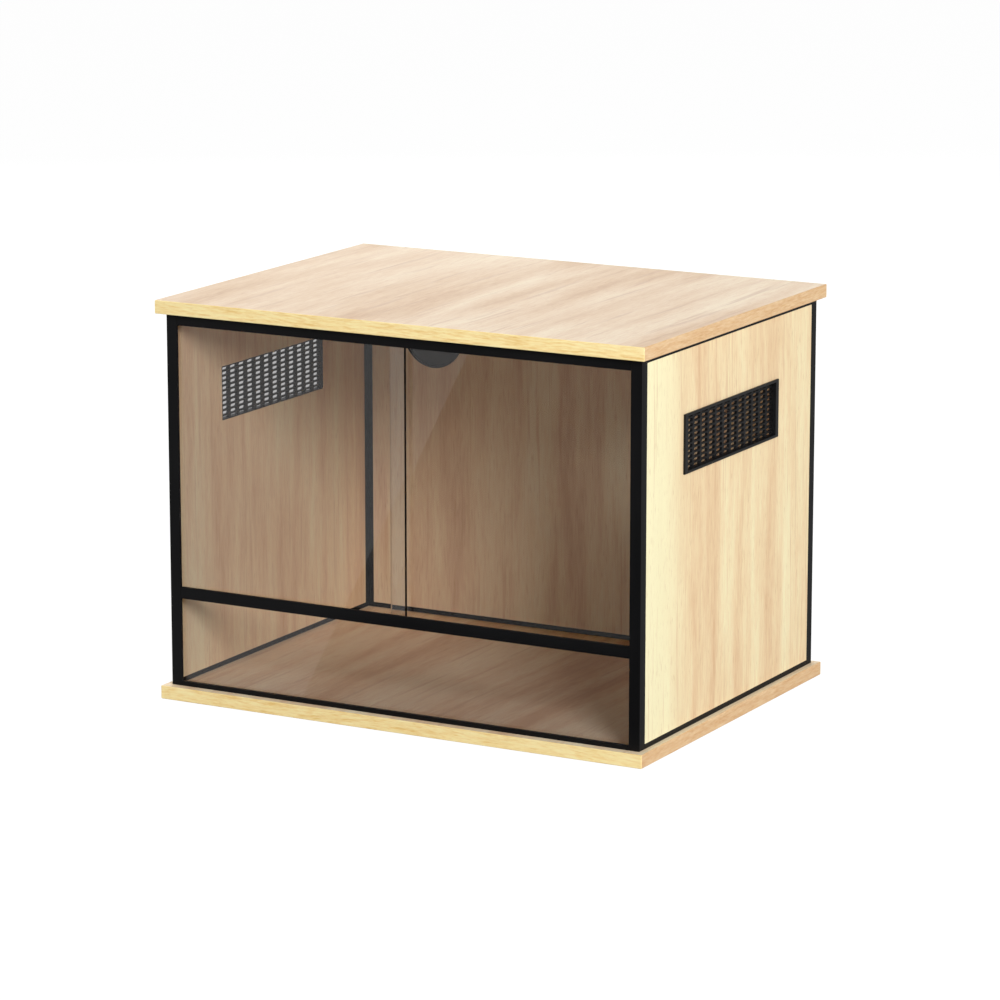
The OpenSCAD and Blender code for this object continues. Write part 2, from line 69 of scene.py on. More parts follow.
class Axis(Enum):
    """The way a grain, a die line or a length runs."""

    X = 0
    Y = 1
    Z = 2


def srgb(code: str) -> Colour:
    """Turns an sRGB hex colour into the linear one that shaders take.

    Args:
        code: Six hex digits after a hash sign.

    Returns:
        Red, green, blue and an alpha of 1.
    """
    shares = [int(code[i : i + 2], 16) / 255 for i in (1, 3, 5)]
    red, green, blue = (
        share / 12.92 if share <= 0.04045 else ((share + 0.055) / 1.055) ** 2.4
        for share in shares
    )
    return red, green, blue, 1.0


def add_node(
    tree: bpy.types.NodeTree,
    kind: str,
    sockets: dict[str | int, Any] | None = None,
    stops: tuple[tuple[float, str], ...] = (),
    **settings: Any,
) -> bpy.types.Node:
    """Adds one node with its settings and its links.

    Args:
        tree: The node tree that it goes into.
        kind: The node's type, without the words that every type starts with.
        sockets: For each input, a value or the output socket that feeds it.
        stops: Place and sRGB hex colour of each stop, on a colour ramp.
        settings: The node's own properties.

    Returns:
        The node.
    """
    node = tree.nodes.new("ShaderNode" + kind)
    for name, value in settings.items():
        setattr(node, name, value)
    for key, value in (sockets or {}).items():
        if isinstance(value, bpy.types.NodeSocket):
            tree.links.new(value, node.inputs[key])
        else:
            node.inputs[key].default_value = value
    for index, (place, code) in enumerate(stops):
        elements = node.color_ramp.elements
        stop = elements[index] if index < 2 else elements.new(place)
        stop.position = place
        stop.color = srgb(code)
    return node


def new_material(name: str) -> tuple[bpy.types.Material, bpy.types.NodeTree]:
    """Makes a material with nothing in its tree but the output.

    Args:
        name: The real material and how its surface was made.

    Returns:
        The material and its node tree.
    """
    material = bpy.data.materials.new(name)
    material.use_nodes = True
    material.node_tree.nodes.clear()
    return material, material.node_tree


def stretch(grain: Axis, across_mm: float, along_mm: float) -> Point:
    """Works out the scale of a pattern that is drawn out along its grain.

    Args:
        grain: The way the grain runs.
        across_mm: Real spacing across the grain.
        along_mm: Real spacing along the grain.

    Returns:
        Copies per metre along X, Y and Z.
    """
    scale = [1 / (across_mm * MM)] * 3
    scale[grain.value] = 1 / (along_mm * MM)
    return scale[0], scale[1], scale[2]


def grain_layer(
    tree: bpy.types.NodeTree,
    place: bpy.types.NodeSocket,
    scale: Point,
    detail: float = 2.0,
) -> bpy.types.NodeSocket:
    """Adds one layer of a grain: noise that is drawn out by a scale.

    Args:
        tree: The material's node tree.
        place: Where the surface is, in metres.
        scale: Copies per metre along X, Y and Z.
        detail: How many finer octaves the layer has.

    Returns:
        The layer's value, about 0.5 on average.
    """
    drawn = add_node(tree, "VectorMath", {0: place, 1: scale}, operation="MULTIPLY")
    noise = add_node(
        tree, "TexNoise", {"Vector": drawn.outputs[0], "Scale": 1.0, "Detail": detail}
    )
    return noise.outputs["Fac"]


def close_material(tree: bpy.types.NodeTree, surface: bpy.types.NodeSocket) -> None:
    """Joins a surface to the material's output."""
    add_node(tree, "OutputMaterial", {"Surface": surface})


# ---- Finishes ----


@dataclass(frozen=True)
class OakFoil:
    """Melamine foil with a printed oak grain, pressed on board.

    The print gives soft tone strips a few centimetres wide, a broken figure, fine
    fibres, a few darker veins and short pores. The resin gives all of it a satin sheen.
    """

    name: str
    grain: Axis
    tones: tuple[tuple[float, str], ...]
    vein: str
    pore: str
    strip_mm: tuple[float, float] = (44.0, 520.0)
    figure_mm: tuple[float, float] = (13.0, 120.0)
    # Real fibres are about 0.3 mm wide; at 1.6 mm they still show in the render.
    fibre_mm: tuple[float, float] = (1.6, 22.0)
    vein_mm: tuple[float, float] = (5.0, 210.0)
    pore_mm: tuple[float, float] = (1.2, 13.0)
    drift_mm: tuple[float, float] = (130.0, 300.0)
    bend_mm: float = 14.0
    # Shares of strips, figure and fibres in the tone, and the values that it spans.
    shares: Point = (0.5, 0.28, 0.22)
    tone_span: tuple[float, float] = (0.36, 0.64)
    vein_span: tuple[float, float] = (0.57, 0.72)
    pore_span: tuple[float, float] = (0.6, 0.76)
    vein_depth: float = 0.42
    pore_depth: float = 0.3
    relief_mm: float = 0.04
    roughness: float = 0.46
    # Y at which a paler strip of sapwood starts and ends, in millimetres.
    sapwood_mm: tuple[float, float] | None = None
    sapwood: str = "#fbf5ca"
    sapwood_depth: float = 0.85

    def mark_share(
        self,
        tree: bpy.types.NodeTree,
        layer: bpy.types.NodeSocket,
        span: tuple[float, float],
        depth: float,
    ) -> bpy.types.NodeSocket:
        """Turns the peaks of a grain layer into separate marks.

        Args:
            tree: The material's node tree.
            layer: The grain layer.
            span: The layer's values at which a mark begins and is full.
            depth: How much of its colour a full mark shows.

        Returns:
            How much of the mark's colour shows.
        """
        share = add_node(
            tree,
            "MapRange",
            {0: layer, 1: span[0], 2: span[1], 3: 0.0, 4: depth},
            interpolation_type="SMOOTHSTEP",
        )
        return share.outputs[0]

    def add_sapwood(
        self,
        tree: bpy.types.NodeTree,
        place: bpy.types.NodeSocket,
        colour: bpy.types.NodeSocket,
    ) -> bpy.types.NodeSocket:
        """Lets the print run out into its paler strip.

        Args:
            tree: The material's node tree.
            place: Where the surface is, with the grain's bends.
            colour: The print without the strip.

        Returns:
            The print's colour.
        """
        if self.sapwood_mm is None:
            return colour
        axes = add_node(tree, "SeparateXYZ", {0: place})
        start, end = self.sapwood_mm
        share = add_node(
            tree,
            "MapRange",
            {
                0: axes.outputs["Y"],
                1: start * MM,
                2: end * MM,
                3: self.sapwood_depth,
                4: 0.0,
            },
            interpolation_type="SMOOTHSTEP",
        )
        paler = add_node(
            tree,
            "Mix",
            {0: share.outputs[0], 6: colour, 7: srgb(self.sapwood)},
            data_type="RGBA",
        )
        return paler.outputs[2]

    def make(self) -> bpy.types.Material:
        """Builds the material.

        Returns:
            The finished material.
        """
        material, tree = new_material(self.name)
        place = add_node(tree, "TexCoord").outputs["Object"]
        drift = add_node(
            tree,
            "VectorMath",
            {0: place, 1: stretch(self.grain, *self.drift_mm)},
            operation="MULTIPLY",
        )
        bend = add_node(
            tree,
            "TexNoise",
            {"Vector": drift.outputs[0], "Scale": 1.0, "Detail": 2.0},
        )
        bent = add_node(
            tree,
            "VectorMath",
            {0: bend.outputs["Color"], 1: (self.bend_mm * MM,) * 3, 2: place},
            operation="MULTIPLY_ADD",
        ).outputs[0]

        strip = grain_layer(tree, bent, stretch(self.grain, *self.strip_mm), 1.0)
        figure = grain_layer(tree, bent, stretch(self.grain, *self.figure_mm), 3.0)
        fibre = grain_layer(tree, bent, stretch(self.grain, *self.fibre_mm), 2.0)
        vein = grain_layer(tree, bent, stretch(self.grain, *self.vein_mm), 2.0)
        pore = grain_layer(tree, bent, stretch(self.grain, *self.pore_mm), 1.0)

        tone = None
        for value, share in zip((strip, figure, fibre), self.shares, strict=True):
            tone = add_node(
                tree,
                "Math",
                {0: value, 1: share, 2: 0.0 if tone is None else tone},
                operation="MULTIPLY_ADD",
            ).outputs[0]
        pale, dark = self.tone_span
        spread = add_node(tree, "MapRange", {0: tone, 1: pale, 2: dark})
        plain = add_node(tree, "ValToRGB", {0: spread.outputs[0]}, stops=self.tones)
        colour = self.add_sapwood(tree, bent, plain.outputs[0])
        pore_share = self.mark_share(tree, pore, self.pore_span, self.pore_depth)
        vein_share = self.mark_share(tree, vein, self.vein_span, self.vein_depth)
        for share, mark in ((vein_share, self.vein), (pore_share, self.pore)):
            marked = add_node(
                tree, "Mix", {0: share, 6: colour, 7: srgb(mark)}, data_type="RGBA"
            )
            colour = marked.outputs[2]

        rough = add_node(
            tree,
            "MapRange",
            {0: fibre, 1: 0.3, 2: 0.7, 3: self.roughness, 4: self.roughness + 0.1},
        )
        relief = add_node(tree, "Math", {0: fibre, 1: pore_share}, operation="SUBTRACT")
        bump = add_node(
            tree,
            "Bump",
            {
                "Strength": 0.25,
                "Distance": self.relief_mm * MM,
                "Height": relief.outputs[0],
            },
        )
        shader = add_node(
            tree,
            "BsdfPrincipled",
            {
                "Base Color": colour,
                "Roughness": rough.outputs[0],
                "IOR": 1.45,
                "Normal": bump.outputs[0],
            },
        )
        close_material(tree, shader.outputs[0])
        return material


@dataclass(frozen=True)
class ExtrudedPlastic:
    """Black PVC drawn through a die and left matt.

    The die leaves hair-thin lines along the length, which break the sheen up a little.
    """

    name: str
    length: Axis
    colour: str = "#0e0e0f"
    worn: str = "#141415"
    roughness: float = 0.44
    specular: float = 0.12

    def make(self) -> bpy.types.Material:
        """Builds the material.

        Returns:
            The finished material.
        """
        material, tree = new_material(self.name)
        place = add_node(tree, "TexCoord").outputs["Object"]
        # Die lines are some 0.2 mm apart; at 0.9 mm they still show.
        lines = grain_layer(tree, place, stretch(self.length, 0.9, 160.0), 2.0)
        cloud = grain_layer(tree, place, stretch(self.length, 35.0, 120.0), 2.0)
        colour = add_node(
            tree,
            "ValToRGB",
            {0: cloud},
            stops=((0.35, self.colour), (0.75, self.worn)),
        )
        rough = add_node(
            tree,
            "MapRange",
            {0: lines, 1: 0.3, 2: 0.7, 3: self.roughness - 0.07, 4: self.roughness + 0.07},
        )
        bump = add_node(
            tree,
            "Bump",
            {"Strength": 0.15, "Distance": 0.03 * MM, "Height": lines},
        )
        shader = add_node(
            tree,
            "BsdfPrincipled",
            {
                "Base Color": colour.outputs[0],
                "Roughness": rough.outputs[0],
                "IOR": 1.5,
                "Specular IOR Level": self.specular,
                "Normal": bump.outputs[0],
            },
        )
        close_material(tree, shader.outputs[0])
        return material


@dataclass(frozen=True)
class GrainedSurface:
    """A dark surface with a fine even grain: moulded ABS, powder coat or rubber.

    The grain is too fine to see as bumps, but it spreads the highlights evenly.
    """

    name: str
    colour: str
    high: str
    grain_mm: float
    depth_mm: float
    roughness: float
    specular: float = 0.25

    def make(self) -> bpy.types.Material:
        """Builds the material.

        Returns:
            The finished material.
        """
        material, tree = new_material(self.name)
        place = add_node(tree, "TexCoord").outputs["Object"]
        even = stretch(Axis.X, self.grain_mm, self.grain_mm)
        grain = grain_layer(tree, place, even, 2.0)
        cloud = grain_layer(tree, place, stretch(Axis.X, 22.0, 22.0), 3.0)
        colour = add_node(
            tree,
            "ValToRGB",
            {0: cloud},
            stops=((0.35, self.colour), (0.7, self.high)),
        )
        rough = add_node(
            tree,
            "MapRange",
            {0: grain, 1: 0.3, 2: 0.7, 3: self.roughness - 0.06, 4: self.roughness + 0.06},
        )
        bump = add_node(
            tree,
            "Bump",
            {"Strength": 0.3, "Distance": self.depth_mm * MM, "Height": grain},
        )
        shader = add_node(
            tree,
            "BsdfPrincipled",
            {
                "Base Color": colour.outputs[0],
                "Roughness": rough.outputs[0],
                "IOR": 1.5,
                "Specular IOR Level": self.specular,
                "Normal": bump.outputs[0],
            },
        )
        close_material(tree, shader.outputs[0])
        return material


@dataclass(frozen=True)
class FloatGlass:
    """Clear soda-lime float glass, 4 mm thick.

    The faces are flat and take a sharp reflection. The sheet takes a little of the light
    that comes through, so that what stands behind it is a shade darker.
    """

    name: str
    tint: str
    through: str
    # Real glass has 1.52; this gives the stronger reflection of the photograph.
    ior: float = 1.58
    wave_mm: tuple[float, float] = (60.0, 220.0)
    wave_depth_mm: float = 0.02

    def make(self) -> bpy.types.Material:
        """Builds the material.

        Returns:
            The finished material.
        """
        material, tree = new_material(self.name)
        place = add_node(tree, "TexCoord").outputs["Object"]
        # The sheet isn't quite flat: its waves make the reflection swim a little.
        wave = grain_layer(tree, place, stretch(Axis.X, *self.wave_mm), 1.0)
        bump = add_node(
            tree,
            "Bump",
            {"Strength": 0.05, "Distance": self.wave_depth_mm * MM, "Height": wave},
        )
        glass = add_node(
            tree,
            "BsdfPrincipled",
            {
                "Base Color": srgb(self.tint),
                "Roughness": 0.0,
                "IOR": self.ior,
                "Transmission Weight": 1.0,
                "Normal": bump.outputs[0],
            },
        )
        # Lamps and bounced light pass straight through, as they do through a real pane.
        clear = add_node(tree, "BsdfTransparent", {"Color": srgb(self.through)})
        path = add_node(tree, "LightPath")
        passing = add_node(
            tree,
            "Math",
            {0: path.outputs["Is Shadow Ray"], 1: path.outputs["Is Diffuse Ray"]},
            operation="MAXIMUM",
        )
        mixed = add_node(
            tree,
            "MixShader",
            {0: passing.outputs[0], 1: glass.outputs[0], 2: clear.outputs[0]},
        )
        close_material(tree, mixed.outputs[0])
        return material


@dataclass(frozen=True)
class ZincPlate:
    """Steel with a bright zinc plating.

    The plating is a pale blue-grey metal whose sheen varies in small patches.
    """

    name: str = "steel_zinc_plated"
    colour: str = "#b9bcc1"
    high: str = "#d2d4d6"

    def make(self) -> bpy.types.Material:
        """Builds the material.

        Returns:
            The finished material.
        """
        material, tree = new_material(self.name)
        place = add_node(tree, "TexCoord").outputs["Object"]
        patches = grain_layer(tree, place, stretch(Axis.X, 1.6, 1.6), 3.0)
        colour = add_node(
            tree,
            "ValToRGB",
            {0: patches},
            stops=((0.35, self.colour), (0.65, self.high)),
        )
        rough = add_node(tree, "MapRange", {0: patches, 1: 0.3, 2: 0.7, 3: 0.26, 4: 0.42})
        shader = add_node(
            tree,
            "BsdfPrincipled",
            {
                "Base Color": colour.outputs[0],
                "Metallic": 1.0,
                "Roughness": rough.outputs[0],
            },
        )
        close_material(tree, shader.outputs[0])
        return material


# ---- Meshes ----


def flatten_shading(piece: bpy.types.Object) -> None:
    """Keeps flat faces flat beside their rounded edges.

    Args:
        piece: An object whose faces are shaded smooth.
    """
    normals = piece.modifiers.new("flat_faces", "WEIGHTED_NORMAL")
    normals.weight = 100
    normals.keep_sharp = False


def ease_arrises(
    piece: bpy.types.Object, width_mm: float, steps: int = 2, clear_flats: bool = True
) -> None:
    """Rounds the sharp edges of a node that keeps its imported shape.

    Args:
        piece: The node's object.
        width_mm: How far the rounding reaches from each edge.
        steps: How many facets each rounding has.
        clear_flats: Whether the triangles of each flat face are joined into one.
    """
    weld = piece.modifiers.new("join_faces", "WELD")
    weld.merge_threshold = 0.005 * MM
    if clear_flats:
        plane = piece.modifiers.new("clear_flats", "DECIMATE")
        plane.decimate_type = "DISSOLVE"
        plane.angle_limit = math.radians(0.3)
    bevel = piece.modifiers.new("ease_arrises", "BEVEL")
    bevel.width = width_mm * MM
    bevel.segments = steps
    bevel.limit_method = "ANGLE"
    bevel.angle_limit = math.radians(35)
    bevel.use_clamp_overlap = False
    bevel.miter_outer = "MITER_ARC"
    flatten_shading(piece)
    for polygon in piece.data.polygons:
        polygon.use_smooth = True


def eased_block(
    name: str,
    low: Vector,
    high: Vector,
    radius_mm: float,
    steps: int,
    outer: tuple[Point, ...],
) -> bpy.types.Mesh:
    """Builds a block whose edges between its outer faces are rounded.

    Args:
        name: Name of the mesh.
        low: Its lowest corner.
        high: Its highest corner.
        radius_mm: Radius of the rounding.
        steps: How many facets each rounding has.
        outer: The normals of its outer faces.

    Returns:
        The mesh.
    """
    shape = bmesh.new()
    bmesh.ops.create_cube(shape, size=1.0)
    for vert in shape.verts:
        share = vert.co + Vector((0.5, 0.5, 0.5))
        vert.co = Vector(low[i] + share[i] * (high[i] - low[i]) for i in range(3))
    normals = [Vector(normal) for normal in outer]
    shape.normal_update()
    rounded = [
        edge
        for edge in shape.edges
        if all(any(face.normal.dot(n) > 0.9 for n in normals) for face in edge.link_faces)
    ]
    bmesh.ops.bevel(
        shape,
        geom=rounded,
        offset=radius_mm * MM,
        offset_type="OFFSET",
        segments=steps,
        profile=0.5,
        affect="EDGES",
    )
    shape.normal_update()
    for face in shape.faces:
        face.smooth = True
    mesh = bpy.data.meshes.new(name)
    shape.to_mesh(mesh)
    shape.free()
    return mesh


def place_piece(mesh: bpy.types.Mesh, material: bpy.types.Material) -> bpy.types.Object:
    """Puts a mesh in the scene as an object of the same name.

    Args:
        mesh: The mesh, in the frame's own coordinates.
        material: What its surface shows.

    Returns:
        The object.
    """
    mesh.materials.append(material)
    piece = bpy.data.objects.new(mesh.name, mesh)
    bpy.context.scene.collection.objects.link(piece)
    return piece


# ---- Sub-assemblies ----


@dataclass
class SubAssembly:
    """Pieces of the cabinet that are made and fitted together."""

    nodes: dict[str, bpy.types.Object]
    pieces: list[bpy.types.Object] = field(default_factory=list, init=False)

    def keep(
        self,
        name: str,
        material: bpy.types.Material,
        ease_mm: float,
        steps: int = 2,
        clear_flats: bool = True,
    ) -> bpy.types.Object:
        """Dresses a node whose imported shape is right.

        Args:
            name: The node's name.
            material: What its surface shows.
            ease_mm: How far its edges are rounded.
            steps: How many facets each rounding has.
            clear_flats: Whether the triangles of each flat face are joined into one.

        Returns:
            The node's object.
        """
        piece = self.nodes[name]
        piece.material_slots[0].material = material
        ease_arrises(piece, ease_mm, steps, clear_flats)
        self.pieces.append(piece)
        return piece

    def stand_for(
        self,
        piece: bpy.types.Object,
        body: str,
        slot: str,
        *names: str,
    ) -> bpy.types.Object:
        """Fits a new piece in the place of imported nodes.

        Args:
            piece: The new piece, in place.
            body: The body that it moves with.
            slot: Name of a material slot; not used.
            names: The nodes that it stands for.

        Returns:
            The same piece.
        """
        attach(piece, body)
        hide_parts(*names)
        self.pieces.append(piece)
        return piece


@dataclass
class Boards(SubAssembly):
    """The base and top boards: foiled chipboard with a band on every edge."""

    arris_mm: float = 0.9
    arris_steps: int = 4
    seam_mm: float = 0.12

    def build(self) -> None:
        """Dresses both boards and builds their edge bands."""
        # Printed foil on chipboard: broad soft strips, a satin sheen, a rosier tone.
        top_foil = OakFoil(
            name="oak_print_melamine_foil_on_top_board",
            grain=Axis.Y,
            tones=((0.0, "#f5e5cc"), (0.4, "#ebd4ba"), (0.7, "#e2c7aa"), (1.0, "#d5b597")),
            vein="#c9a993",
            pore="#c4a086",
            strip_mm=(58.0, 520.0),
            vein_mm=(8.0, 220.0),
            shares=(0.6, 0.22, 0.18),
        ).make()
        # The same foil from another sheet, a shade yellower.
        base_foil = OakFoil(
            name="oak_print_melamine_foil_on_base_board",
            grain=Axis.Y,
            tones=((0.0, "#f9eac9"), (0.42, "#f2dcba"), (0.72, "#eacca8"), (1.0, "#deba96")),
            vein="#cfa988",
            pore="#c49a78",
        ).make()
        foils = {"base": base_foil, "top": top_foil}
        # Printed ABS band, glued on: straw yellow at front and rear, tan at the sides.
        straw = self.band_print(
            "oak_print_abs_edge_band_straw",
            Axis.X,
            ((0.0, "#fdecb4"), (0.4, "#fae3a5"), (0.72, "#f4d694"), (1.0, "#ebc57a")),
        )
        tan = self.band_print(
            "oak_print_abs_edge_band_tan",
            Axis.Y,
            ((0.0, "#edcda3"), (0.4, "#e5c194"), (0.72, "#dfb687"), (1.0, "#d5a877")),
        )
        for board in ("base", "top"):
            self.keep(f"{board}_board", foils[board], self.seam_mm, 1)
            for edge, print_material in (
                ("front", straw),
                ("rear", straw),
                ("left", tan),
                ("right", tan),
            ):
                self.band(board, edge, print_material)

    def band_print(
        self, name: str, grain: Axis, tones: tuple[tuple[float, str], ...]
    ) -> bpy.types.Material:
        """Makes the finer, wavier print of an edge band.

        Args:
            name: The material's name.
            grain: The way the band runs.
            tones: Its tones, from the palest to the darkest.

        Returns:
            The material.
        """
        return OakFoil(
            name=name,
            grain=grain,
            tones=tones,
            vein="#dfae66",
            pore="#d6a45e",
            strip_mm=(5.0, 60.0),
            figure_mm=(2.0, 17.0),
            fibre_mm=(1.2, 9.0),
            vein_mm=(1.8, 20.0),
            pore_mm=(1.2, 6.0),
            bend_mm=24.0,
            shares=(0.3, 0.4, 0.3),
            vein_depth=0.25,
            pore_depth=0.15,
        ).make()

    def band(self, board: str, edge: str, material: bpy.types.Material) -> None:
        """Builds one edge band with its outer arrises rounded off.

        Args:
            board: Name of the board that it is on.
            edge: Name of the edge that it covers.
            material: Its print.
        """
        node = f"{board}_{edge}_edge_band"
        outer = {
            "front": ((0, -1, 0), (-1, 0, 0), (1, 0, 0)),
            "rear": ((0, 1, 0), (-1, 0, 0), (1, 0, 0)),
            "left": ((-1, 0, 0),),
            "right": ((1, 0, 0),),
        }[edge]
        low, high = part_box(node)
        mesh = eased_block(
            f"{node}_print",
            low,
            high,
            self.arris_mm,
            self.arris_steps,
            (*outer, (0, 0, -1), (0, 0, 1)),
        )
        piece = place_piece(mesh, material)
        flatten_shading(piece)
        self.stand_for(piece, "cabinet", "oak_edge_band", node)


@dataclass
class SlottedFrame(SubAssembly):
    """Four corner posts and six rails, slotted for the panels."""

    post_ease_mm: float = 0.5
    rail_ease_mm: float = 0.3

    def build(self) -> None:
        """Dresses the posts and rails."""
        # Matt black PVC whose die lines run along each piece, with a dull long sheen.
        upright = ExtrudedPlastic("pvc_black_extruded_upright", Axis.Z).make()
        crossways = ExtrudedPlastic("pvc_black_extruded_crossways", Axis.X).make()
        rearways = ExtrudedPlastic("pvc_black_extruded_rearways", Axis.Y).make()
        for end in ("front", "rear"):
            for side in ("left", "right"):
                self.keep(f"{end}_{side}_post", upright, self.post_ease_mm)
        for level in ("bottom", "top"):
            self.keep(f"rear_{level}_rail", crossways, self.rail_ease_mm)
            for side in ("left", "right"):
                self.keep(f"{side}_{level}_rail", rearways, self.rail_ease_mm)


@dataclass
class Panels(SubAssembly):
    """The side and back panels, slid into the frame's slots."""

    ease_mm: float = 0.35

    def build(self) -> None:
        """Dresses the three panels, each cut from another part of the print."""
        # Printed foil on thin board, upright grain. The right one has a paler strip.
        straw = ((0.0, "#f8ecc1"), (0.42, "#f3dcb1"), (0.72, "#ebcda3"), (1.0, "#e0bb92"))
        pale = ((0.0, "#f8eecd"), (0.42, "#f3e1bd"), (0.72, "#ebd1af"), (1.0, "#dfbf9d"))
        for name, tones, sapwood_mm in (
            ("left_side_panel", straw, None),
            ("right_side_panel", straw, (-172.0, -82.0)),
            ("back_panel", pale, None),
        ):
            foil = OakFoil(
                name=f"oak_print_melamine_foil_on_{name}",
                grain=Axis.Z,
                tones=tones,
                vein="#d8b089",
                pore="#c69c75",
                pore_depth=0.38,
                sapwood_mm=sapwood_mm,
            )
            self.keep(name, foil.make(), self.ease_mm)


@dataclass
class FrontRails(SubAssembly):
    """Header, mid and sill rails, with the door tracks and the pane's soft channels."""

    ease_mm: float = 0.4
    sill_ease_mm: float = 0.2
    track_ease_mm: float = 0.15

    def build(self) -> None:
        """Dresses the rails, tracks and channels."""
        # Matt black PVC with die lines. The tracks are smoother, where the doors run.
        black = ExtrudedPlastic("pvc_black_extruded_front_rail", Axis.X).make()
        track = ExtrudedPlastic(
            "pvc_black_extruded_track", Axis.X, "#0d0d0e", "#141415", roughness=0.38
        ).make()
        # Soft black rubber, duller than the rails, grips the fixed pane.
        rubber = GrainedSurface(
            "epdm_rubber_extruded", "#0c0c0d", "#131314", 0.8, 0.02, 0.72, specular=0.3
        ).make()
        for name in ("header_rail", "mid_rail"):
            self.keep(name, black, self.ease_mm)
        self.keep("sill_rail", black, self.sill_ease_mm, clear_flats=False)
        for name in ("upper_door_track", "lower_door_track"):
            self.keep(name, track, self.track_ease_mm)
        for name in ("front_pane_top_gasket", "front_pane_bottom_gasket"):
            self.keep(name, rubber, self.track_ease_mm)


@dataclass
class Glazing(SubAssembly):
    """The fixed pane and the two sliding doors, with polished edges and edges painted dark as
    shade.
    """

    arris_mm: float = 0.25
    all_sides: tuple[Point, ...] = (
        (-1, 0, 0),
        (1, 0, 0),
        (0, -1, 0),
        (0, 1, 0),
        (0, 0, -1),
        (0, 0, 1),
    )

    def build(self) -> None:
        """Builds the three panes."""
        # Float glass: clear, with one sharp reflection of the room on each face.
        glass = FloatGlass("soda_lime_glass_float", "#f6f5f5", "#dad7da").make()
        # The left-hand edges are polished clear and leave only a faint line.
        clear = FloatGlass(
            "soda_lime_glass_polished_edge", "#edf2ef", "#d9d6da", ior=1.0
        ).make()
        # The right-hand edges are painted nearly black: painted shade, as no light leaves the
        # sheet there.
        dark = GrainedSurface(
            "soda_lime_glass_edge_painted_shade", "#060504", "#0b0908", 0.6, 0.01, 0.4, specular=0.08
        ).make()
        for node, body in (
            ("front_pane", "cabinet"),
            ("left_sliding_door", "left_door"),
            ("right_sliding_door", "right_door"),
        ):
            low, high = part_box(node)
            mesh = eased_block(
                f"{node}_glass", low, high, self.arris_mm, 1, self.all_sides
            )
            piece = place_piece(mesh, glass)
            mesh.materials.append(dark)
            mesh.materials.append(clear)
            for polygon in mesh.polygons:
                polygon.use_smooth = False
                if polygon.normal.x > 0.5:
                    polygon.material_index = 1
                elif polygon.normal.x < -0.5:
                    polygon.material_index = 2
            self.stand_for(piece, body, "clear_glass", node)


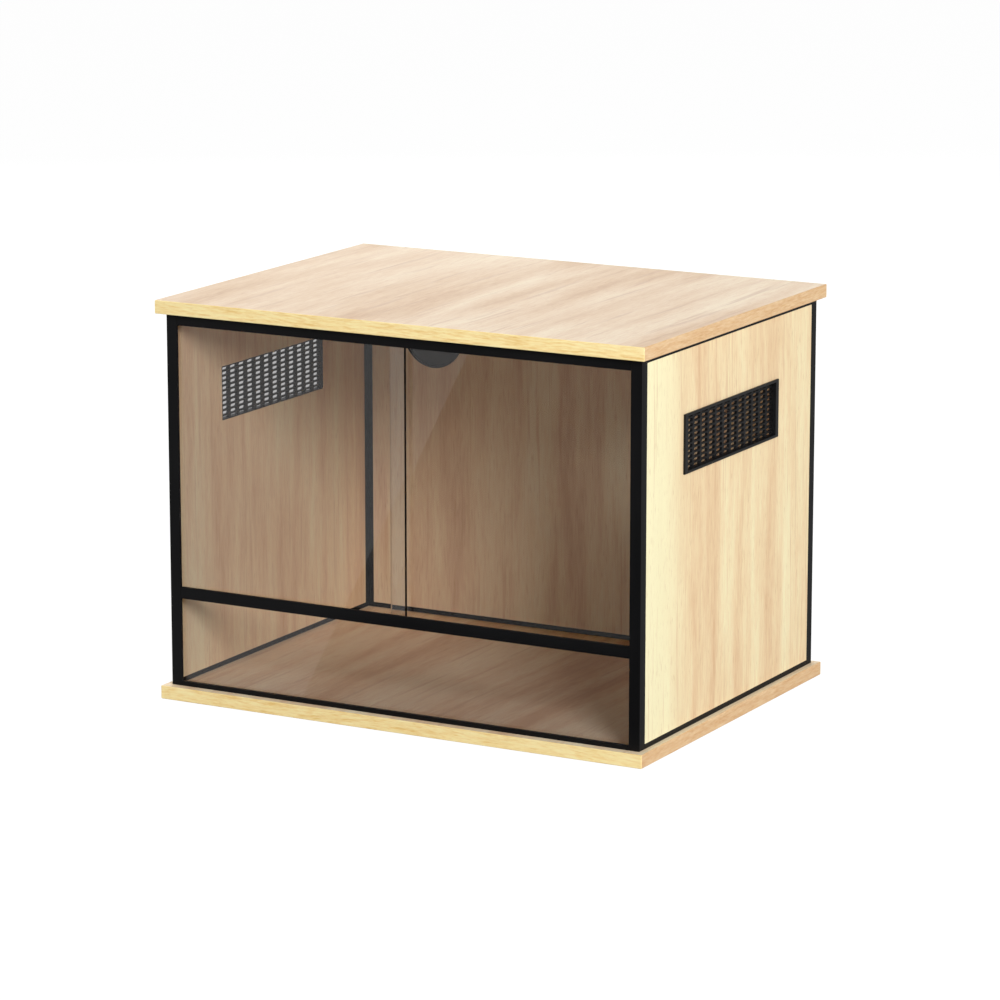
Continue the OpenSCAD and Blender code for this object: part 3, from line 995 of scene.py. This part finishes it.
@dataclass
class Vents(SubAssembly):
    """A bezel and a deep slotted grille in each side panel.

    Lengths along a grille run towards the back on the right side. The left one is the
    same part turned round. All sizes are in millimetres.
    """

    bezel_ease_mm: float = 0.4
    plate_ease_mm: float = 0.25
    slot_mm: tuple[float, float] = (13.8, 3.7)
    pitch_mm: tuple[float, float] = (18.0, 5.6)
    half_grille_mm: tuple[float, float] = (108.2, 29.45)
    half_plate_mm: tuple[float, float] = (108.8, 30.05)
    forward_mm: float = 5.1
    columns: int = 6
    rows: int = 5
    arc_steps: int = 8

    def build(self) -> None:
        """Dresses the bezels and builds the grilles."""
        # Moulded black ABS: a fine even grain that spreads the highlights.
        bezel = GrainedSurface(
            "abs_black_moulded_bezel", "#0f0f10", "#171718", 0.7, 0.02, 0.45
        ).make()
        plate = GrainedSurface(
            "abs_black_moulded_grille", "#101011", "#19191a", 0.9, 0.03, 0.5, specular=0.22
        ).make()
        for side, turn in (("left", -1), ("right", 1)):
            self.keep(
                f"{side}_vent_bezel", bezel, self.bezel_ease_mm, clear_flats=False
            )
            self.plate(f"{side}_vent_plate", turn, plate)

    def plate(self, node: str, turn: int, material: bpy.types.Material) -> None:
        """Builds one grille: a moulded plate whose slots have eased rims.

        Args:
            node: Name of the node that it stands for.
            turn: 1 for the right side and -1 for the left.
            material: What its surface shows.
        """
        low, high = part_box(node)
        middle = (low + high) / 2
        shape = bmesh.new()
        for corners in self.faces():
            shape.faces.new(
                shape.verts.new(middle + Vector((0.0, turn * along, up)) * MM)
                for along, up in corners
            )
        bmesh.ops.remove_doubles(shape, verts=shape.verts, dist=0.01 * MM)
        bmesh.ops.recalc_face_normals(shape, faces=shape.faces)
        mesh = bpy.data.meshes.new(f"{node}_grille")
        shape.to_mesh(mesh)
        shape.free()
        piece = place_piece(mesh, material)
        depth = piece.modifiers.new("plate_thickness", "SOLIDIFY")
        depth.thickness = high.x - low.x
        depth.offset = 0.0
        rims = piece.modifiers.new("eased_rims", "BEVEL")
        rims.width = self.plate_ease_mm * MM
        rims.segments = 1
        rims.limit_method = "ANGLE"
        rims.angle_limit = math.radians(60)
        flatten_shading(piece)
        self.stand_for(piece, "cabinet", "vent_plate", node)

    def faces(self) -> list[list[tuple[float, float]]]:
        """Works out the faces of the plate between its slots.

        Returns:
            The corners of each face, as lengths along the plate and heights.
        """
        faces = []
        half_slots = self.half_grille_mm[1]
        half_high = self.half_plate_mm[1]
        radius = self.slot_mm[1] / 2
        for row in range(-self.rows, self.rows + 1):
            centre = row * self.pitch_mm[1]
            levels = (
                max(-half_high, centre - self.pitch_mm[1] / 2),
                max(-half_slots, centre - radius),
                min(half_slots, centre + radius),
                min(half_high, centre + self.pitch_mm[1] / 2),
            )
            for column in range(-self.columns, self.columns + 1):
                faces += self.cell(column, levels)
            for end in (-1, 1):
                inner, outer = end * self.half_grille_mm[0], end * self.half_plate_mm[0]
                for under, over in zip(levels, levels[1:]):
                    faces.append(
                        [(inner, under), (outer, under), (outer, over), (inner, over)]
                    )
        return faces

    def cell(
        self, column: int, levels: tuple[float, float, float, float]
    ) -> list[list[tuple[float, float]]]:
        """Works out the faces round one slot.

        Args:
            column: The slot's place, counted from the middle one.
            levels: Heights of the cell's bottom, the slot's two sides and the cell's top.

        Returns:
            The corners of each face.
        """
        bottom, under, over, top = levels
        radius = (over - under) / 2
        centre = column * self.pitch_mm[0] - self.forward_mm
        faces = []
        starts = []
        for end in (-1, 1):
            limit = centre + end * self.pitch_mm[0] / 2
            start = centre + end * (self.slot_mm[0] / 2 - radius)
            if abs(column) == self.columns and end * column > 0:
                # The grille's end cuts the slot off square.
                starts.append(end * self.half_grille_mm[0])
                continue
            starts.append(start)
            arc = []
            rim = []
            for step in range(self.arc_steps + 1):
                angle = math.pi * (step / self.arc_steps - 0.5)
                arc.append(
                    (
                        start + end * radius * math.cos(angle),
                        (under + over) / 2 + radius * math.sin(angle),
                    )
                )
                across = min(step, self.arc_steps - step) / (self.arc_steps / 4)
                rise = min(1.0, max(0.0, 2 * step / self.arc_steps - 0.5))
                rim.append(
                    (
                        start + (limit - start) * min(1.0, across),
                        bottom + (top - bottom) * rise,
                    )
                )
            for step in range(self.arc_steps):
                faces.append([arc[step], rim[step], rim[step + 1], arc[step + 1]])
        for low, high in ((bottom, under), (over, top)):
            faces.append(
                [(starts[0], low), (starts[1], low), (starts[1], high), (starts[0], high)]
            )
        return faces


@dataclass
class CablePort(SubAssembly):
    """The sleeve through the back panel and the cap that turns in it."""

    ease_mm: float = 0.35

    def build(self) -> None:
        """Dresses the sleeve and the cap."""
        # Moulded ABS like the vents'. The cap is a dark grey, a shade paler.
        sleeve = GrainedSurface(
            "abs_black_moulded_sleeve", "#0f0f10", "#171718", 0.7, 0.02, 0.45
        ).make()
        cap = GrainedSurface(
            "abs_dark_grey_moulded_cap", "#1e1e20", "#242426", 0.7, 0.02, 0.5
        ).make()
        self.keep("cable_port_sleeve", sleeve, self.ease_mm)
        self.keep("cable_port_cap", cap, self.ease_mm)


@dataclass
class Fasteners(SubAssembly):
    """Screws and pins of zinc-plated steel."""

    ease_mm: float = 0.15

    def build(self) -> None:
        """Dresses the screws and pins."""
        # Bright zinc on steel, the only bare metal of the cabinet.
        zinc = ZincPlate().make()
        for name in ("post_screws", "top_locating_pins", "header_screws", "sill_screws"):
            self.keep(name, zinc, self.ease_mm)


# ---- Studio ----


@dataclass(frozen=True)
class Lamp:
    """One soft box."""

    name: str
    place: Point
    size: float
    power: float
    colour: str = "#ffffff"

    def light(self, target: Vector) -> None:
        """Hangs the lamp so that it faces a point.

        Args:
            target: The point.
        """
        data = bpy.data.lights.new(self.name, "AREA")
        data.shape = "SQUARE"
        data.size = self.size
        data.energy = self.power
        data.color = srgb(self.colour)[:3]
        lamp = bpy.data.objects.new(self.name, data)
        lamp.location = self.place
        away = Vector(self.place) - target
        lamp.rotation_euler = away.to_track_quat("Z", "Y").to_euler()
        lamp.visible_glossy = False
        bpy.context.scene.collection.objects.link(lamp)


@dataclass
class Studio:
    """A white room with soft lamps, and a camera at the photograph's angle."""

    floor_size: float = 30.0
    floor_gap: float = 0.2 * MM
    # How bright the white room is to the camera, in a mirror, and as light.
    floor_glow: float = 0.955
    mirrored_white: float = 0.48
    fill: float = 0.24
    camera_place: Point = (2.3096, -4.1967, 1.2656)
    camera_pitch_deg: float = 12.3731
    camera_yaw_deg: float = 28.7494
    camera_lens_mm: float = 158.23
    target: Point = (0.0, 0.0, 0.22)
    lamps: tuple[Lamp, ...] = (
        Lamp("key_lamp", (4.27, -4.12, 2.62), 1.8, 384.0),
        Lamp("top_lamp", (-1.5, 0.1, 2.5), 1.6, 26.0),
        Lamp("side_lamp", (3.2, 1.2, 1.6), 1.6, 10.0),
        Lamp("rear_lamp", (-1.9, 2.9, 1.9), 1.6, 60.0),
    )
    # Dark card on the floor in front. The panes mirror it, but for a strip at their
    # left, where they mirror the white floor.
    card: tuple[tuple[float, float], ...] = (
        (-0.1424, -0.2245),
        (-1.8, -3.9),
        (2.5, -3.9),
        (2.5, -0.2245),
    )

    def build(self) -> None:
        """Sets up the camera, floor, world and lamps."""
        self.set_camera()
        self.lay_floor()
        self.lay_card()
        self.fill_world()
        for lamp in self.lamps:
            lamp.light(Vector(self.target))
        bpy.context.scene.view_settings.view_transform = "Standard"

    def set_camera(self) -> None:
        """Puts the camera where the photograph was taken from."""
        data = bpy.data.cameras.new("camera")
        data.sensor_width = 36.0
        data.lens = self.camera_lens_mm
        data.clip_end = 200.0
        camera = bpy.data.objects.new("camera", data)
        camera.location = self.camera_place
        turn = math.radians(90 - self.camera_pitch_deg), 0.0, math.radians(self.camera_yaw_deg)
        camera.rotation_euler = Euler(turn)
        bpy.context.scene.collection.objects.link(camera)
        bpy.context.scene.camera = camera

    def flat_sheet(self, name: str, corners: list[Point]) -> bpy.types.Object:
        """Lays a flat sheet on the stage.

        Args:
            name: Its name.
            corners: Its corners in order.

        Returns:
            The sheet.
        """
        mesh = bpy.data.meshes.new(name)
        mesh.from_pydata(corners, [], [tuple(range(len(corners)))])
        sheet = bpy.data.objects.new(name, mesh)
        bpy.context.scene.collection.objects.link(sheet)
        return sheet

    def lay_floor(self) -> None:
        """Lays a white floor that keeps the cabinet's shadow."""
        half = self.floor_size / 2
        z = -self.floor_gap
        corners = [(-half, -half, z), (half, -half, z), (half, half, z), (-half, half, z)]
        floor = self.flat_sheet("studio_floor", corners)
        material, tree = new_material("paper_white_matt")
        bounce = add_node(tree, "BsdfDiffuse", {"Color": srgb("#b8b8b8")})
        shade = add_node(tree, "BsdfDiffuse", {"Color": srgb("#5c5c5c")})
        glow = add_node(
            tree,
            "Emission",
            {"Color": srgb("#ffffff"), "Strength": self.floor_glow},
        )
        shown = add_node(tree, "AddShader", {0: glow.outputs[0], 1: shade.outputs[0]})
        dim = add_node(
            tree,
            "Emission",
            {"Color": srgb("#ffffff"), "Strength": self.mirrored_white},
        )
        seen, mirrored = self.ray_shares(tree)
        lit_or_shown = add_node(
            tree, "MixShader", {0: seen, 1: bounce.outputs[0], 2: shown.outputs[0]}
        )
        mixed = add_node(
            tree, "MixShader", {0: mirrored, 1: lit_or_shown.outputs[0], 2: dim.outputs[0]}
        )
        close_material(tree, mixed.outputs[0])
        floor.data.materials.append(material)

    def ray_shares(
        self, tree: bpy.types.NodeTree
    ) -> tuple[bpy.types.NodeSocket, bpy.types.NodeSocket]:
        """Tells the rays that show the background from those that light the cabinet.

        Args:
            tree: The node tree of the floor or the world.

        Returns:
            A value of 1 for camera and refracted rays, and one for mirrored rays.
        """
        path = add_node(tree, "LightPath")
        seen = add_node(
            tree,
            "Math",
            {0: path.outputs["Is Camera Ray"], 1: path.outputs["Is Transmission Ray"]},
            operation="MAXIMUM",
        )
        return seen.outputs[0], path.outputs["Is Glossy Ray"]

    def lay_card(self) -> None:
        """Lays the dark card, which only mirrored rays meet."""
        corners = [(x, y, self.floor_gap) for x, y in self.card]
        card = self.flat_sheet("studio_dark_card", corners)
        card.visible_camera = False
        card.visible_diffuse = False
        card.visible_transmission = False
        card.visible_shadow = False
        material, tree = new_material("card_black_matt")
        black = add_node(tree, "BsdfDiffuse", {"Color": srgb("#0a0a0a")})
        close_material(tree, black.outputs[0])
        card.data.materials.append(material)

    def fill_world(self) -> None:
        """Makes the world white to look at and an even, weaker light to be lit by."""
        world = bpy.data.worlds.new("studio_world")
        world.use_nodes = True
        tree = world.node_tree
        tree.nodes.clear()
        seen, mirrored = self.ray_shares(tree)
        lit_or_shown = add_node(tree, "MapRange", {0: seen, 3: self.fill, 4: 1.0})
        extra = self.mirrored_white - self.fill
        strength = add_node(
            tree,
            "Math",
            {0: mirrored, 1: extra, 2: lit_or_shown.outputs[0]},
            operation="MULTIPLY_ADD",
        )
        background = add_node(
            tree,
            "Background",
            {"Color": srgb("#ffffff"), "Strength": strength.outputs[0]},
        )
        add_node(tree, "OutputWorld", {"Surface": background.outputs[0]})
        bpy.context.scene.world = world


def main() -> None:
    """Builds the studio and every sub-assembly, and logs each piece's face count."""
    logging.basicConfig(level=logging.INFO, format="%(name)s: %(message)s")
    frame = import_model()
    Studio().build()
    for kind in (
        Boards,
        SlottedFrame,
        Panels,
        FrontRails,
        Glazing,
        Vents,
        CablePort,
        Fasteners,
    ):
        part = kind(frame["nodes"])
        part.build()
        for piece in part.pieces:
            LOG.info("%s: %s, %d faces", kind.__name__, piece.name, len(piece.data.polygons))


if __name__ == "__main__":
    main()
